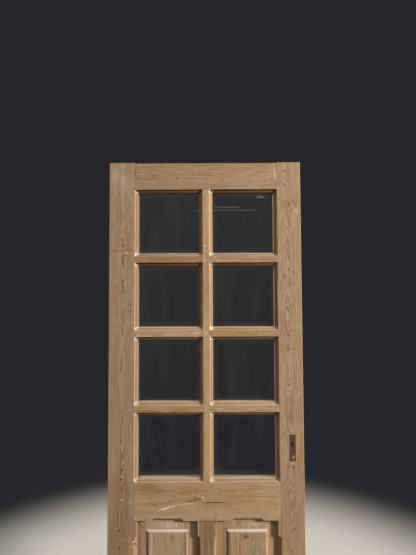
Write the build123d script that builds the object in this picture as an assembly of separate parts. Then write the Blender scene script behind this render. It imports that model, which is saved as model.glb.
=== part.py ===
"""Glazed door leaf in pine: eight panes, two across and four down, over a lock rail and two raised panels.

Frame: X runs from the hinge edge (x = 0) to the lock edge, the moulded front is at -Y (y = -thickness / 2),
Z is up, and the origin is on the hinge edge at its foot, at mid thickness. Lengths are in mm.
"""
import os
from math import sqrt

from build123d import *

os.makedirs("parts", exist_ok=True)

# Driving sizes
door_width = 762.0
door_height = 1981.0
door_thickness = 44.0

hinge_stile_face = 101.0      # outer edge to the arris of the moulding
lock_stile_face = 94.0
top_rail_face = 106.0         # top of the rail to the arris of the moulding
top_rail_drop = 2.5           # the rail's top edge lies this much below the tops of the stiles
lock_rail_top = 726.5         # height of the arris of the moulding above the lock rail
lock_rail_face = 135.5        # that arris to the inner line of the panel lip
bottom_rail_face = 195.0
muntin_face = 54.0
upright_bar_face = 27.0
cross_bar_face = 26.0
panes_down = 4

moulding_width = 12.5         # arris to sight line
cavetto_radius = 8.0
cavetto_step = 1.5            # drop from the foot of the hollow to the flat fillet
glass_depth = 22.0            # front face of the door to the glass
glass_thickness = 4.0
glass_clearance = 1.5
bead_depth = 15.0
bead_splay = 5.0

panel_lip = 10.0              # square edge that stands past the shoulder line round each panel
groove_front = 16.0           # front face of the door to the groove
groove_width = 12.0
groove_depth = 12.0           # measured from the edge of the lip
margin_width = 38.0           # edge of the lip to the foot of the panel's shoulder
margin_rise = 2.0
shoulder_width = 8.0
shoulder_rise = 5.0
quirk_width = 2.5
quirk_depth = 1.8
quirk_lip = 0.8               # foot of the field's edge to the quirk

stile_chamfer = 12.0
rail_chamfer = 10.0
chamfer_stop_distance = 57.0  # corner of the panel opening to the tip of the stop
stop_radius = 11.0

tenon_thickness = 14.0
top_tenon_height = 62.0
top_tenon_rise = 6.0          # arris under the top rail to the foot of its tenon
lock_tenon_height = 92.0
bottom_tenon_height = 58.0
bottom_tenon_gap = 45.0
haunch_length = 12.0
wedge_length = 46.0
wedge_butt = 5.0
wedge_tip = 1.0
bar_tenon_length = 10.0
bar_tenon_height = 16.0
upright_tenon_length = 28.0
upright_tenon_width = 19.0
muntin_tenon_length = 42.0

plate_width = 25.0
plate_height = 102.0
plate_backset = 45.5          # lock edge to the middle of the plate
plate_top = 906.5             # height of the plate's top edge
plate_recess = 2.6
plate_thickness = 1.4
keyhole_drop = 36.0           # plate's top edge to the middle of the keyhole
keyhole_diameter = 12.0
keyhole_slot_width = 5.0
keyhole_slot_length = 14.0

edge_round = 2.0

# Derived lines
front = -door_thickness / 2
x_hinge = hinge_stile_face
x_lock = door_width - lock_stile_face
x_mid = (x_hinge + x_lock) / 2
pane_columns = {
    "left": (x_hinge, x_mid - upright_bar_face / 2),
    "right": (x_mid + upright_bar_face / 2, x_lock),
}
panel_columns = {"left": (x_hinge, x_mid - muntin_face / 2), "right": (x_mid + muntin_face / 2, x_lock)}

rail_top = door_height - top_rail_drop
glazing_top = rail_top - top_rail_face
pane_height = (glazing_top - lock_rail_top - (panes_down - 1) * cross_bar_face) / panes_down
pane_rows = [
    (head - pane_height, head)
    for head in (glazing_top - k * (pane_height + cross_bar_face) for k in range(panes_down))
]
panel_top = lock_rail_top - lock_rail_face
panel_bottom = bottom_rail_face
tenon_front = (door_thickness - tenon_thickness) / 2
lip_floor = cavetto_radius + cavetto_step


# Shapes
def slab(x0, x1, d0, d1, z0, z1):
    """A box from x0 to x1 and z0 to z1, between two depths behind the front face."""
    return Pos((x0 + x1) / 2, front + (d0 + d1) / 2, (z0 + z1) / 2) * Box(x1 - x0, d1 - d0, z1 - z0)


def prism(points, d0, d1):
    """An outline in X and Z, between two depths behind the front face."""
    face = make_face(Polyline(*[(x, front + d0, z) for x, z in points], close=True))
    return extrude(face, amount=d1 - d0, dir=(0, 1, 0))


def frustum(outer, d0, inner, d1):
    """A tapered block between two rectangles (x0, x1, z0, z1), each at its own depth."""
    faces = []
    for (x0, x1, z0, z1), d in ((outer, d0), (inner, d1)):
        y = front + d
        faces.append(make_face(Polyline((x0, y, z0), (x1, y, z0), (x1, y, z1), (x0, y, z1), close=True)))
    return loft(faces, ruled=True)


def inset(rect, d):
    x0, x1, z0, z1 = rect
    return (x0 + d, x1 - d, z0 + d, z1 - d)


def mitred_lip(profile, width, depth, length):
    """A profile run up Z from its arris at the origin, its lip towards +X, both ends mitred at 45 degrees."""
    run = extrude(profile, amount=length, dir=(0, 0, 1))
    corners = (0, 0, 0), (0, 0, length), (width, 0, length - width), (width, 0, width)
    plan = make_face(Polyline(*corners, close=True))
    return run & extrude(plan, amount=depth, dir=(0, 1, 0))


def moulding(length):
    """The stuck moulding: a hollow, a small step, a flat fillet and the return that the glass beds on."""
    r, w = cavetto_radius, moulding_width
    outline = [
        ThreePointArc((0, 0), (r - r * sqrt(0.5), r * sqrt(0.5)), (r, r)),
        Line((r, r), (r, lip_floor)),
        Line((r, lip_floor), (w, lip_floor)),
        Line((w, lip_floor), (w, glass_depth)),
        Line((w, glass_depth), (0, glass_depth)),
        Line((0, glass_depth), (0, 0)),
    ]
    return mitred_lip(make_face(outline), w, glass_depth, length)


def square_lip(length):
    """The plain edge round a panel, ploughed for the panel's tongue."""
    w, t = panel_lip, door_thickness
    face = make_face(Polyline((0, 0), (w, 0), (w, t), (0, t), close=True))
    return mitred_lip(face, w, t, length)


def side(shape_of, rect, which):
    """A lip set on one side of an opening (x0, x1, z0, z1), whose lines are the arrises of what frames it."""
    x0, x1, z0, z1 = rect
    turn, at, length = {
        "left": (0, (x0, z0), z1 - z0),
        "top": (90, (x0, z1), x1 - x0),
        "right": (180, (x1, z1), z1 - z0),
        "bottom": (270, (x1, z0), x1 - x0),
    }[which]
    return Pos(at[0], front, at[1]) * Rot(0, turn, 0) * shape_of(length)


def groove(rect, which):
    """The plough for a panel in one member round its opening."""
    x0, x1, z0, z1 = rect
    d0, d1, lip, floor = groove_front, groove_front + groove_width, panel_lip, groove_depth - panel_lip
    return {
        "left": lambda: slab(x0 - floor, x0 + lip, d0, d1, z0, z1),
        "right": lambda: slab(x1 - lip, x1 + floor, d0, d1, z0, z1),
        "top": lambda: slab(x0, x1, d0, d1, z1 - lip, z1 + floor),
        "bottom": lambda: slab(x0, x1, d0, d1, z0 - floor, z0 + lip),
    }[which]()


def stopped_chamfer(rect, which, width):
    """What a stopped chamfer takes off the arris of a panel opening: a slot with round ends, at the stops."""
    x0, x1, z0, z1 = inset(rect, panel_lip)
    depth = width / sqrt(2)
    reach = sqrt(2 * stop_radius * depth - depth**2)
    start = chamfer_stop_distance + reach
    upright = which in ("left", "right")
    length = (z1 - z0 if upright else x1 - x0) - 2 * start
    slot = extrude(
        Plane.YZ * SlotCenterToCenter(length, 2 * stop_radius, rotation=90), amount=width + 2, both=True
    )  # its axis across X, its length up Z, its rounds in Y
    tool = Rot(0, 0, 45) * Pos(0, depth - stop_radius, 0) * slot
    turn, at = {
        "left": (0, (x0, (z0 + z1) / 2)),
        "right": (180, (x1, (z0 + z1) / 2)),
        "top": (90, ((x0 + x1) / 2, z1)),
        "bottom": (270, ((x0 + x1) / 2, z0)),
    }[which]
    return Pos(at[0], front, at[1]) * Rot(0, turn, 0) * tool


def tenon(rail_shoulder, outer, z0, z1):
    x0, x1 = sorted((rail_shoulder, outer))
    return slab(x0, x1, tenon_front, tenon_front + tenon_thickness, z0, z1)


def wedges(outer, inward, z0, z1):
    """The two wedges of a through tenon, one above it and one below, driven in from the door's edge."""
    tip = outer + inward * wedge_length
    above = [(outer, z1), (tip, z1), (tip, z1 + wedge_tip), (outer, z1 + wedge_butt)]
    below = [(outer, z0), (tip, z0), (tip, z0 - wedge_tip), (outer, z0 - wedge_butt)]
    return [prism(p, tenon_front, tenon_front + tenon_thickness) for p in (above, below)]


def save(shape, node):
    shape.label = node
    export_step(shape, f"parts/{node}.step")


pane_openings = {
    (col, k + 1): (*pane_columns[col], *pane_rows[k]) for col in ("left", "right") for k in range(panes_down)
}
panel_openings = {col: (*panel_columns[col], panel_bottom, panel_top) for col in ("left", "right")}

# Through tenons and their wedges
top_first = glazing_top + top_tenon_rise
lock_first = (panel_top + lock_rail_top - lock_tenon_height) / 2
bottom_first = (bottom_rail_face - 2 * bottom_tenon_height - bottom_tenon_gap) / 2
bottom_second = bottom_first + bottom_tenon_height + bottom_tenon_gap
tenon_bands = {
    "top": [(top_first, top_first + top_tenon_height)],
    "lock": [(lock_first, lock_first + lock_tenon_height)],
    "bottom": [(first, first + bottom_tenon_height) for first in (bottom_first, bottom_second)],
}
haunch_bands = {
    "top": (top_first + top_tenon_height, rail_top),
    "bottom": (bottom_first + bottom_tenon_height, bottom_second),
}
sides = {"hinge": (x_hinge, 0.0, 1), "lock": (x_lock, door_width, -1)}

tenons = {
    rail: [tenon(shoulder, outer, *band) for shoulder, outer, _ in sides.values() for band in bands]
    for rail, bands in tenon_bands.items()
}
for rail, band in haunch_bands.items():
    for shoulder, _, inward in sides.values():
        tenons[rail].append(tenon(shoulder, shoulder - inward * haunch_length, *band))
wedge_sets = {
    name: [w for bands in tenon_bands.values() for band in bands for w in wedges(outer, inward, *band)]
    for name, (_, outer, inward) in sides.items()
}

# Stub tenons of the bars and the muntin
bar_bands = [
    (pane_rows[k][0] - cross_bar_face, pane_rows[k][0]) for k in range(panes_down - 1)
]  # from the top bar down
bar_tenons = {}
for col, (x0, x1) in pane_columns.items():
    for k, (z0, z1) in enumerate(bar_bands):
        zm = (z0 + z1) / 2
        lo, hi = zm - bar_tenon_height / 2, zm + bar_tenon_height / 2
        d0, d1 = tenon_front, tenon_front + tenon_thickness
        bar_tenons[col, k + 1] = [
            slab(x0 - bar_tenon_length, x0, d0, d1, lo, hi),
            slab(x1, x1 + bar_tenon_length, d0, d1, lo, hi),
        ]


def end_tenons(x, width, length, z0, z1):
    d0, d1 = tenon_front, tenon_front + tenon_thickness
    return [
        slab(x - width / 2, x + width / 2, d0, d1, z0 - length, z0),
        slab(x - width / 2, x + width / 2, d0, d1, z1, z1 + length),
    ]


upright_tenons = end_tenons(x_mid, upright_tenon_width, upright_tenon_length, lock_rail_top, glazing_top)
muntin_tenons = end_tenons(x_mid, muntin_face, muntin_tenon_length, panel_bottom, panel_top)

# Keyhole
plate_x = door_width - plate_backset
plate_rect = (plate_x - plate_width / 2, plate_x + plate_width / 2, plate_top - plate_height, plate_top)
key_z = plate_top - keyhole_drop


def keyhole(d0, d1):
    bore = Rot(90, 0, 0) * Cylinder(keyhole_diameter / 2, d1 - d0)
    round_part = Pos(plate_x, front + (d0 + d1) / 2, key_z) * bore
    half = keyhole_slot_width / 2
    slot = slab(plate_x - half, plate_x + half, d0, d1, key_z - keyhole_slot_length, key_z)
    return round_part + slot


# Stiles
def stile(name, which, x0, x1, column):
    outer = x0 if which == "left" else x1
    body = slab(x0, x1, 0, door_thickness, 0, door_height)
    corners = [e for e in body.edges().filter_by(Axis.Z) if abs(e.center().X - outer) < 1e-6]
    body = fillet(corners, edge_round)
    for k in range(panes_down):
        body += side(moulding, pane_openings[column, k + 1], which)
    body += side(square_lip, panel_openings[column], which)
    body -= groove(panel_openings[column], which)
    body -= stopped_chamfer(panel_openings[column], which, stile_chamfer)
    for group in tenons.values():
        for t in group:
            body -= t
    for w in wedge_sets[name]:
        body -= w
    for k in range(panes_down - 1):
        for t in bar_tenons[column, k + 1]:
            body -= t
    return body


hinge_stile = stile("hinge", "left", 0, x_hinge, "left")
lock_stile = stile("lock", "right", x_lock, door_width, "right")
lock_stile -= slab(plate_rect[0], plate_rect[1], 0, plate_recess, plate_rect[2], plate_rect[3])
lock_stile -= keyhole(0, door_thickness)
save(hinge_stile, "hinge_stile")
save(lock_stile, "lock_stile")

for name, group in wedge_sets.items():
    save(Compound(children=group), f"wedges_{name}_stile")

plate_x0, plate_x1, plate_z0, plate_z1 = plate_rect
plate = slab(plate_x0, plate_x1, plate_recess - plate_thickness, plate_recess, plate_z0, plate_z1)
save(plate - keyhole(0, plate_recess), "keyhole_plate")

# Rails
top_rail = slab(x_hinge, x_lock, 0, door_thickness, glazing_top, rail_top)
for col in ("left", "right"):
    top_rail += side(moulding, pane_openings[col, 1], "top")
for t in tenons["top"]:
    top_rail += t
save(top_rail - upright_tenons[1], "top_rail")

lock_rail = slab(x_hinge, x_lock, 0, door_thickness, panel_top, lock_rail_top)
for col in ("left", "right"):
    lock_rail += side(moulding, pane_openings[col, panes_down], "bottom")
    lock_rail += side(square_lip, panel_openings[col], "top")
for t in tenons["lock"]:
    lock_rail += t
for col in ("left", "right"):
    lock_rail -= groove(panel_openings[col], "top")
    lock_rail -= stopped_chamfer(panel_openings[col], "top", rail_chamfer)
save(lock_rail - upright_tenons[0] - muntin_tenons[1], "lock_rail")

bottom_rail = slab(x_hinge, x_lock, 0, door_thickness, 0, panel_bottom)
for col in ("left", "right"):
    bottom_rail += side(square_lip, panel_openings[col], "bottom")
for t in tenons["bottom"]:
    bottom_rail += t
for col in ("left", "right"):
    bottom_rail -= groove(panel_openings[col], "bottom")
    bottom_rail -= stopped_chamfer(panel_openings[col], "bottom", rail_chamfer)
save(bottom_rail - muntin_tenons[0], "bottom_rail")

# Muntin between the panels
muntin = slab(x_mid - muntin_face / 2, x_mid + muntin_face / 2, 0, door_thickness, panel_bottom, panel_top)
for col, which in (("left", "right"), ("right", "left")):
    muntin += side(square_lip, panel_openings[col], which)
for col, which in (("left", "right"), ("right", "left")):
    muntin -= groove(panel_openings[col], which)
    muntin -= stopped_chamfer(panel_openings[col], which, rail_chamfer)
for t in muntin_tenons:
    muntin += t
save(muntin, "muntin")

# Glazing bars
upright = slab(
    x_mid - upright_bar_face / 2, x_mid + upright_bar_face / 2, 0, door_thickness, lock_rail_top, glazing_top
)
for k in range(1, panes_down + 1):
    for col, which in (("left", "right"), ("right", "left")):
        upright += side(moulding, pane_openings[col, k], which)
for t in upright_tenons:
    upright += t
for group in bar_tenons.values():
    for t in group:
        upright -= t
save(upright, "glazing_bar_upright")

for col, (x0, x1) in pane_columns.items():
    for k, (z0, z1) in enumerate(bar_bands, start=1):
        bar = slab(x0, x1, 0, door_thickness, z0, z1)
        bar += side(moulding, pane_openings[col, k], "bottom")
        bar += side(moulding, pane_openings[col, k + 1], "top")
        for t in bar_tenons[col, k]:
            bar += t
        save(bar, f"glazing_bar_{col}_{k}")

# Panels
for col, rect in panel_openings.items():
    foot = inset(rect, panel_lip + margin_width)
    field = inset(foot, shoulder_width)
    foot_depth = groove_front - margin_rise
    field_depth = foot_depth - shoulder_rise
    x0, x1, z0, z1 = rect
    panel = slab(x0, x1, groove_front, groove_front + groove_width, z0, z1)
    panel += frustum(inset(rect, panel_lip), groove_front, foot, foot_depth)
    panel += frustum(foot, foot_depth, field, field_depth)
    (a0, a1, c0, c1), (b0, b1, e0, e1) = inset(field, quirk_lip), inset(field, quirk_width)
    quirk = slab(a0, a1, field_depth, field_depth + quirk_depth, c0, c1)
    quirk -= slab(b0, b1, field_depth, field_depth + quirk_depth, e0, e1)
    save(panel - quirk, f"panel_{col}")

# Glass and the beads behind it
for (col, k), rect in pane_openings.items():
    x0, x1, z0, z1 = inset(rect, glass_clearance)
    save(slab(x0, x1, glass_depth, glass_depth + glass_thickness, z0, z1), f"pane_{col}_{k}")
    d0 = glass_depth + glass_thickness
    x0, x1, z0, z1 = rect
    sight = inset(rect, moulding_width)
    bead = slab(x0, x1, d0, d0 + bead_depth, z0, z1)
    bead -= slab(sight[0], sight[1], d0, d0 + bead_depth, sight[2], sight[3])
    bead -= frustum(sight, d0 + bead_depth - bead_splay, inset(sight, -bead_splay), d0 + bead_depth)
    save(bead, f"bead_{col}_{k}")
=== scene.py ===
"""A glazed door leaf in old stripped pine, on a plain studio floor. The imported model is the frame."""
from math import pi, radians

import bmesh
import bpy
from mathutils import Matrix, Vector


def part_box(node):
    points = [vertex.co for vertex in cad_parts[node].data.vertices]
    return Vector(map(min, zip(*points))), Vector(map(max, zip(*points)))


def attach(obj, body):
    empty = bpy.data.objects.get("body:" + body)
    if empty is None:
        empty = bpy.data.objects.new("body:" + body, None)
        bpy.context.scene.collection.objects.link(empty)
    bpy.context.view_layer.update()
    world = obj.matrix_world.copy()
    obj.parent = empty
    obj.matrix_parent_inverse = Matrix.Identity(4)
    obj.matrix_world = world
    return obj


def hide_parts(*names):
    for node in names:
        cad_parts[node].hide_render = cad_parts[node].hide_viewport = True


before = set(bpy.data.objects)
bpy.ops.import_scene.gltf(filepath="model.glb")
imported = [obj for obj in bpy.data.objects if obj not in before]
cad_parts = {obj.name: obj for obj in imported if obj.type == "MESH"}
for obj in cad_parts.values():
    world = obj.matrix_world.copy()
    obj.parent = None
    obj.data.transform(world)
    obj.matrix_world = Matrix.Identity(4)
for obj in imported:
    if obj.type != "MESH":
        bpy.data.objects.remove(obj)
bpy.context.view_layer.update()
scene = bpy.context.scene
scene.view_settings.view_transform = "Standard"

# Camera
# A phone held a little under eye height, square to the leaf and about a pace and a half away. Its place, its
# tilt and its lens were fitted to the arrises of the stiles, rails and bars.
focal_length, picture_height = 417.0, 555.0  # in pixels of the photo
camera_place = (0.39226, -1.67063, 1.44173)
camera_data = bpy.data.cameras.new("camera")
camera_data.sensor_fit = "VERTICAL"
camera_data.sensor_height = 36.0
camera_data.lens = focal_length / picture_height * camera_data.sensor_height
camera = bpy.data.objects.new("camera", camera_data)
tilt_up, roll, yaw = radians(2.7143), radians(0.2515), radians(0.0175)
turn = Matrix.Rotation(yaw, 3, "Z") @ Matrix.Rotation(tilt_up, 3, "X") @ Matrix.Rotation(roll, 3, "Y")
turn = turn @ Matrix.Rotation(pi / 2, 3, "X")
camera.matrix_world = Matrix.Translation(camera_place) @ turn.to_4x4()
scene.collection.objects.link(camera)
scene.camera = camera

# Stiles
# The two uprights are single boards of slow-grown redwood pine, planed, moulded along the glass and
# stop-chamfered beside the panels. Caustic stripping has left them bare: tan between darker latewood
# lines, and grey where they are worn.
door_width, door_height, front_face = 762.0, 1981.0, -22.0  # mm
glazing_left, glazing_foot = 101.0, 726.5  # mm, the first pane's arrises
pane_width, pane_height = 270.0, 267.0  # mm, arris to arris
pane_pitch_across, pane_pitch_up = 297.0, 293.0  # mm
glazed_width = pane_pitch_across + pane_width
glazed_height = 3 * pane_pitch_up + pane_height
lip_floor = 9.5  # mm from the face to the moulding's fillet
lip_shade = 14.0  # mm of the fillet at a pane's head and far side, which lies in shade and is given painted shade
# how much painted shade, in dark varnish brown, the fillets at a pane's head and at its far side get
head_painted_shade, side_painted_shade = 0.9, 0.45
arris_round = 0.7  # mm
right_through, front_only = 60.0, 40.0  # mm in depth, for knots and for marks on the face
noise_mean = (0.5, 0.5, 0.5)
smooth = {"interpolation_type": "SMOOTHSTEP"}


def linear(hex_code):
    """An sRGB hex colour as the linear values that Blender's sockets hold."""
    parts = [int(hex_code[i : i + 2], 16) / 255 for i in (1, 3, 5)]
    return tuple(c / 12.92 if c <= 0.04045 else ((c + 0.055) / 1.055) ** 2.4 for c in parts) + (1.0,)


def put(tree, kind, feeds=(), **settings):
    """One node with its settings, fed by values, sockets or other nodes."""
    whole = kind.startswith(("Geometry", "Function", "NodeGroup"))
    made = tree.nodes.new(kind if whole else "ShaderNode" + kind)
    for key, value in settings.items():
        setattr(made, key, value)
    for key, value in feeds.items() if isinstance(feeds, dict) else enumerate(feeds):
        if isinstance(value, bpy.types.Node):
            value = value.outputs[0]
        if isinstance(value, bpy.types.NodeSocket):
            tree.links.new(value, made.inputs[key])
        else:
            made.inputs[key].default_value = value
    return made


def pine_figure():
    """Rings, fibre and mottling of pine about a pith along Z, in mm, and how far each point stands."""
    tree = bpy.data.node_groups.new("pine figure", "ShaderNodeTree")
    for name, kind in (
        ("Position", "NodeSocketVector"),
        ("Ring", "NodeSocketFloat"),
        ("Swirl", "NodeSocketFloat"),
        ("Sway", "NodeSocketFloat"),
        ("Pale", "NodeSocketColor"),
        ("Dark", "NodeSocketColor"),
        ("End", "NodeSocketFloat"),
    ):
        tree.interface.new_socket(name, in_out="INPUT", socket_type=kind)
    for name, kind in (
        ("Colour", "NodeSocketColor"),
        ("Height", "NodeSocketFloat"),
        ("Latewood", "NodeSocketFloat"),
    ):
        tree.interface.new_socket(name, in_out="OUTPUT", socket_type=kind)
    given = tree.nodes.new("NodeGroupInput")
    place, ring, swirl, sway, pale, dark, end = given.outputs[:7]

    def grain(across, along, detail=2.0, roughness=0.55):
        """Noise whose grains are so many millimetres across the fibre and along it."""
        at = put(tree, "VectorMath", (place, (1 / across, 1 / across, 1 / along)), operation="MULTIPLY")
        return put(tree, "TexNoise", {"Vector": at, "Scale": 1.0, "Detail": detail, "Roughness": roughness})

    # the pith wanders slowly, which opens the lines into tongues and arches on a flat-sawn face
    wander = grain(260, 330, 0.0).outputs["Color"]
    wander = put(tree, "VectorMath", (wander, noise_mean), operation="SUBTRACT")
    wander = put(tree, "VectorMath", (wander, (22.0, 36.0, 0.0)), operation="MULTIPLY")
    ripple = grain(90, 100, 1.0).outputs["Color"]
    ripple = put(tree, "VectorMath", (ripple, noise_mean), operation="SUBTRACT")
    wander = put(tree, "VectorMath", (ripple, (5.0, 13.0, 0.0), wander), operation="MULTIPLY_ADD")
    wander = put(tree, "VectorMath", {0: wander, "Scale": sway}, operation="SCALE")
    core = put(tree, "VectorMath", (wander, place), operation="ADD")
    core = put(tree, "VectorMath", (core, (1.0, 1.0, 0.0)), operation="MULTIPLY")
    radius = put(tree, "VectorMath", (core,), operation="LENGTH").outputs["Value"]
    waver = put(tree, "Math", (grain(8, 40), 0.5), operation="SUBTRACT")
    radius = put(tree, "Math", (waver, 3.4, radius), operation="MULTIPLY_ADD")
    turns = put(tree, "Math", (radius, ring), operation="DIVIDE")
    turns = put(tree, "Math", (turns, swirl), operation="ADD")
    year = put(tree, "Math", (turns,), operation="FLOOR")
    season = put(tree, "Math", (turns,), operation="FRACT")
    rise = put(tree, "MapRange", {0: season, 1: 0.25, 2: 0.82, 3: 0.0, 4: 1.0}, **smooth)
    fall = put(tree, "MapRange", {0: season, 1: 0.90, 2: 1.0, 3: 1.0, 4: 0.0}, **smooth)
    late = put(tree, "Math", (rise, fall), operation="MULTIPLY")
    luck = put(tree, "TexWhiteNoise", {"W": year}, noise_dimensions="1D")
    luck = put(tree, "MapRange", {0: luck, 1: 0.0, 2: 1.0, 3: 0.15, 4: 1.15})
    late = put(tree, "Math", (late, luck), operation="MULTIPLY", use_clamp=True)
    # lean and fat years come in runs
    run = put(tree, "Math", (turns, 0.31), operation="MULTIPLY")
    run = put(tree, "TexNoise", {"W": run, "Scale": 1.0, "Detail": 1.0}, noise_dimensions="1D")
    run = put(tree, "Math", (run, 0.5), operation="SUBTRACT")

    fibre, streak = grain(1.3, 42, 2.0, 0.6), grain(5, 190)
    mottle, patch = grain(14, 55, 3.0, 0.6), grain(80, 200)
    tone = put(tree, "Math", (fibre, 0.36, 0.28), operation="MULTIPLY_ADD")
    tone = put(tree, "Math", (streak, 0.40, tone), operation="MULTIPLY_ADD")
    tone = put(tree, "Math", (mottle, 0.46, tone), operation="MULTIPLY_ADD")
    tone = put(tree, "Math", (patch, 0.22, tone), operation="MULTIPLY_ADD")
    tone = put(tree, "Math", (run, 0.34, tone), operation="MULTIPLY_ADD")
    depth = put(tree, "Math", (late, 0.86), operation="MULTIPLY")
    colour = put(tree, "MixRGB", (depth, pale, dark))
    warm = put(tree, "MapRange", {0: patch.outputs["Fac"], 1: 0.45, 2: 0.68, 3: 0.0, 4: 0.34})
    colour = put(tree, "MixRGB", (warm, colour, linear("#9a7248")))
    grey = put(tree, "MapRange", {0: mottle.outputs["Fac"], 1: 0.52, 2: 0.75, 3: 0.0, 4: 0.30})
    colour = put(tree, "MixRGB", (grey, colour, linear("#b09c86")))
    colour = put(tree, "VectorMath", {0: colour, "Scale": tone.outputs[0]}, operation="SCALE")
    # short dark pores and dirt lodged in the grain
    pore = put(tree, "MapRange", {0: grain(0.9, 15, 1.0), 1: 0.66, 2: 0.76, 3: 0.0, 4: 0.45})
    colour = put(tree, "MixRGB", (pore, colour, linear("#5d452e")))
    # knocks and scuffs, some dark with handling and some scraped pale
    fleck = grain(4.5, 10, 2.0, 0.6)
    knock = put(tree, "MapRange", {0: fleck, 1: 0.58, 2: 0.76, 3: 0.0, 4: 0.55})
    colour = put(tree, "MixRGB", (knock, colour, linear("#6b5138")))
    scuff = put(tree, "MapRange", {0: fleck, 1: 0.44, 2: 0.24, 3: 0.0, 4: 0.5})
    bare = put(tree, "MapRange", {0: grain(45, 60), 1: 0.42, 2: 0.62, 3: 0.0, 4: 1.0})
    scuff = put(tree, "Math", (scuff, bare), operation="MULTIPLY")
    colour = put(tree, "MixRGB", (scuff, colour, linear("#d0bda1")))
    cut = put(tree, "Math", (end, 0.5), operation="MULTIPLY")
    colour = put(tree, "MixRGB", (cut, colour, linear("#6e5138")))

    height = put(tree, "Math", (late, 0.5), operation="MULTIPLY")
    height = put(tree, "Math", (fibre, 0.5, height), operation="MULTIPLY_ADD")
    height = put(tree, "Math", (mottle, 0.7, height), operation="MULTIPLY_ADD")
    height = put(tree, "Math", (pore, -0.8, height), operation="MULTIPLY_ADD")
    result = tree.nodes.new("NodeGroupOutput")
    for socket, value in zip(result.inputs, (colour, height, late)):
        tree.links.new(value.outputs[0], socket)
    return tree


figure = pine_figure()


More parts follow.
